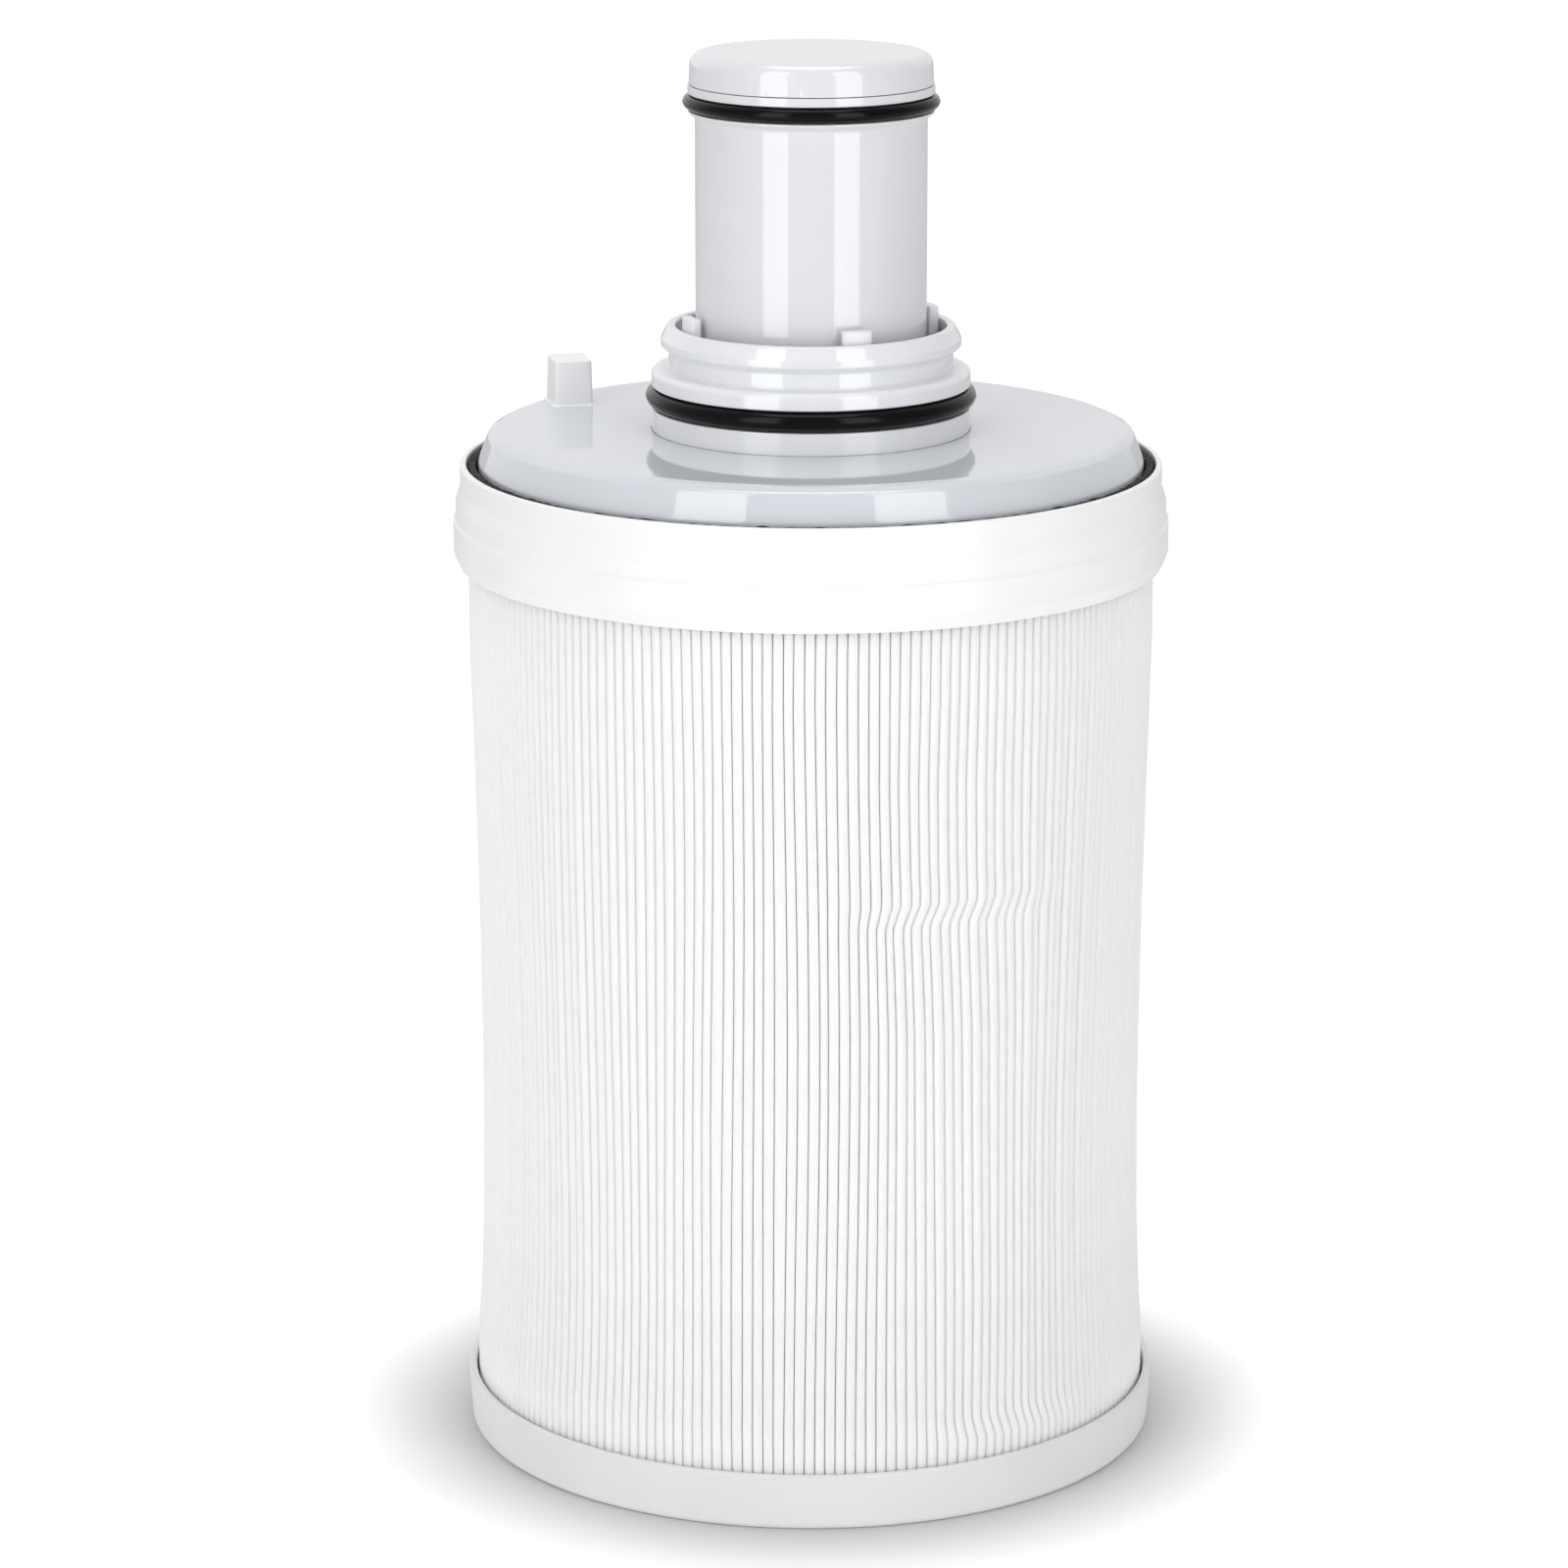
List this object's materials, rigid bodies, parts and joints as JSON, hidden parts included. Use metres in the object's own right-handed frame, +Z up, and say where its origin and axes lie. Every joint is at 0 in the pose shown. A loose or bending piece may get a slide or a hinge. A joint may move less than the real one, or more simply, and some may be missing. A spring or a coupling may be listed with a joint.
{
  "type": "water filter cartridge",
  "caption": "Cylindrical water filter cartridge: pleated prefilter round a carbon block, moulded end caps, and an O-ring sealed stem holding a pull-out ultraviolet lamp module.",
  "frame": {"origin": "centre of the circle that the base stands on", "axes": "+Z up along the cartridge's axis towards the stem, -Y towards the viewer in front"},
  "size_m": [0.1378, 0.1378, 0.2715],
  "materials": {
    "white_plastic": "satin",
    "ring_plastic": "satin",
    "lid_plastic": "gloss",
    "pleated_fabric": "matte",
    "black_rubber": "satin",
    "carbon": "matte",
    "quartz": "gloss",
    "copper_wire": "satin",
    "circuit_board": "satin",
    "ceramic": "matte"
  },
  "bodies": {
    "cartridge": {"bottom_cap": "white_plastic", "pleated_media": "pleated_fabric", "prefilter_core": "white_plastic", "top_ring": "ring_plastic", "rim_seal": "black_rubber", "lower_end_cap": "white_plastic", "lower_block_gasket": "black_rubber", "carbon_block": "carbon", "upper_block_gasket": "black_rubber", "carbon_wrap": "pleated_fabric", "core_tube": "white_plastic", "upper_end_cap": "lid_plastic", "outlet_collar": "white_plastic", "collar_o_ring": "black_rubber"},
    "lock_ring": {"lock_ring": "ring_plastic"},
    "lamp_module": {"stem_housing": "white_plastic", "stem_cap": "white_plastic", "stem_o_ring": "black_rubber", "coil_bobbin": "white_plastic", "secondary_coil": "copper_wire", "circuit_board": "circuit_board", "resonant_capacitor": "ceramic", "chip_tag": "circuit_board", "lamp_holder": "white_plastic", "lamp_lead_a": "black_rubber", "lamp_lead_b": "black_rubber", "lamp_base": "ceramic", "uv_lamp": "quartz", "quartz_sleeve": "quartz", "sleeve_o_ring": "black_rubber", "sleeve_nut": "white_plastic", "lamp_spacer_lower": "black_rubber", "lamp_spacer_upper": "black_rubber"}
  },
  "joints": [
    {"name": "lock_turn", "type": "hinge", "parent": "cartridge", "child": "lock_ring", "pos_m": [0, 0, 0.1988], "axis": [0, 0, 1], "range_deg": [0, 30]},
    {"name": "lamp_pull", "type": "slide", "parent": "lock_ring", "child": "lamp_module", "axis": [0, 0, 1], "range_m": [0, 0.215]}
  ]
}
